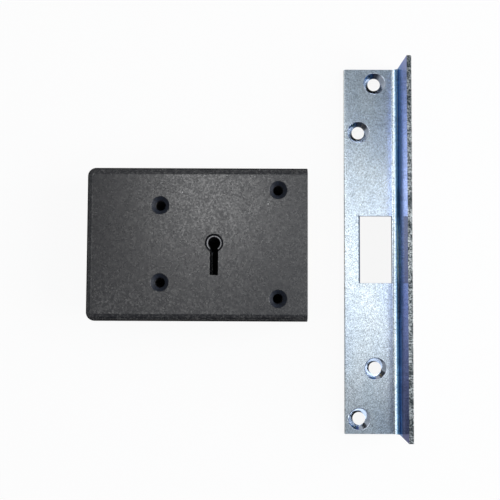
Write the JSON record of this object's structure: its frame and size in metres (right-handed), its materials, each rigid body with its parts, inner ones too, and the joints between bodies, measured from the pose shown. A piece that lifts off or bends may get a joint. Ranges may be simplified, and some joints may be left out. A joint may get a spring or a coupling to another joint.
{
  "type": "rim box lock",
  "caption": "Folded black steel rim lock case with keyhole, key-thrown deadbolt and lever pack, lying beside its long zinc-plated angle strike with screw holes and bolt opening.",
  "frame": {"origin": "middle of the case's back, on the face that lies against the door", "axes": "+X the way the bolt is thrown, +Y up the door and along the strike, +Z out of the door towards the key"},
  "size_m": [0.1695, 0.202, 0.03],
  "materials": {
    "black_coating": "satin black powder coat with a fine grain",
    "zinc_plating": "blue-bright zinc plating, mottled",
    "bright_steel": "bright turned steel",
    "plain_steel": "plain steel",
    "bolt_brass": "satin brass",
    "lever_brass": "stamped brass",
    "spring_steel": "spring steel strip"
  },
  "bodies": {
    "lock_case": {"case_shell": "black_coating", "back_plate": "black_coating", "cap_posts": "plain_steel", "cap_screws": "zinc_plating", "fixing_tubes": "plain_steel", "lever_post": "plain_steel", "lever_washers": "plain_steel", "lever_collar": "plain_steel", "lever_stop": "plain_steel", "strike_plate": "zinc_plating"},
    "bolt": {"bolt_head": "bolt_brass", "bolt_tail": "plain_steel", "bolt_stump": "plain_steel", "bolt_rivets": "plain_steel"},
    "barrel": {"key_barrel": "bright_steel", "curtain_disc": "plain_steel"},
    "lever_1": {"lever_1": "lever_brass", "lever_spring_1": "spring_steel"},
    "lever_2": {"lever_2": "lever_brass", "lever_spring_2": "spring_steel"},
    "lever_3": {"lever_3": "lever_brass", "lever_spring_3": "spring_steel"},
    "lever_4": {"lever_4": "lever_brass", "lever_spring_4": "spring_steel"},
    "lever_5": {"lever_5": "lever_brass", "lever_spring_5": "spring_steel"}
  },
  "joints": [
    {"name": "bolt_throw", "type": "slide", "parent": "lock_case", "child": "bolt", "axis": [1, 0, 0], "range_m": [0, 0.02]},
    {"name": "key_turn", "type": "hinge", "parent": "lock_case", "child": "barrel", "pos_m": [0.009, 0.0005, 0], "axis": [0, 0, -1], "range_deg": [0, 360]},
    {"name": "lever_1_drop", "type": "hinge", "parent": "lock_case", "child": "lever_1", "pos_m": [-0.019, 0.02, 0], "axis": [0, 0, 1], "range_deg": [-4.7, 0], "stiffness_Nm_per_rad": 0.05, "springref_deg": -8.59},
    {"name": "lever_2_drop", "type": "hinge", "parent": "lock_case", "child": "lever_2", "pos_m": [-0.019, 0.02, 0], "axis": [0, 0, 1], "range_deg": [-3.5, 0], "stiffness_Nm_per_rad": 0.05, "springref_deg": -8.59},
    {"name": "lever_3_drop", "type": "hinge", "parent": "lock_case", "child": "lever_3", "pos_m": [-0.019, 0.02, 0], "axis": [0, 0, 1], "range_deg": [-5.5, 0], "stiffness_Nm_per_rad": 0.05, "springref_deg": -8.59},
    {"name": "lever_4_drop", "type": "hinge", "parent": "lock_case", "child": "lever_4", "pos_m": [-0.019, 0.02, 0], "axis": [0, 0, 1], "range_deg": [-2.9, 0], "stiffness_Nm_per_rad": 0.05, "springref_deg": -8.59},
    {"name": "lever_5_drop", "type": "hinge", "parent": "lock_case", "child": "lever_5", "pos_m": [-0.019, 0.02, 0], "axis": [0, 0, 1], "range_deg": [-4.1, 0], "stiffness_Nm_per_rad": 0.05, "springref_deg": -8.59}
  ],
  "couplings": [
    {"joint": "key_turn", "follows": "bolt_throw", "rad_per_m": 314.16}
  ]
}
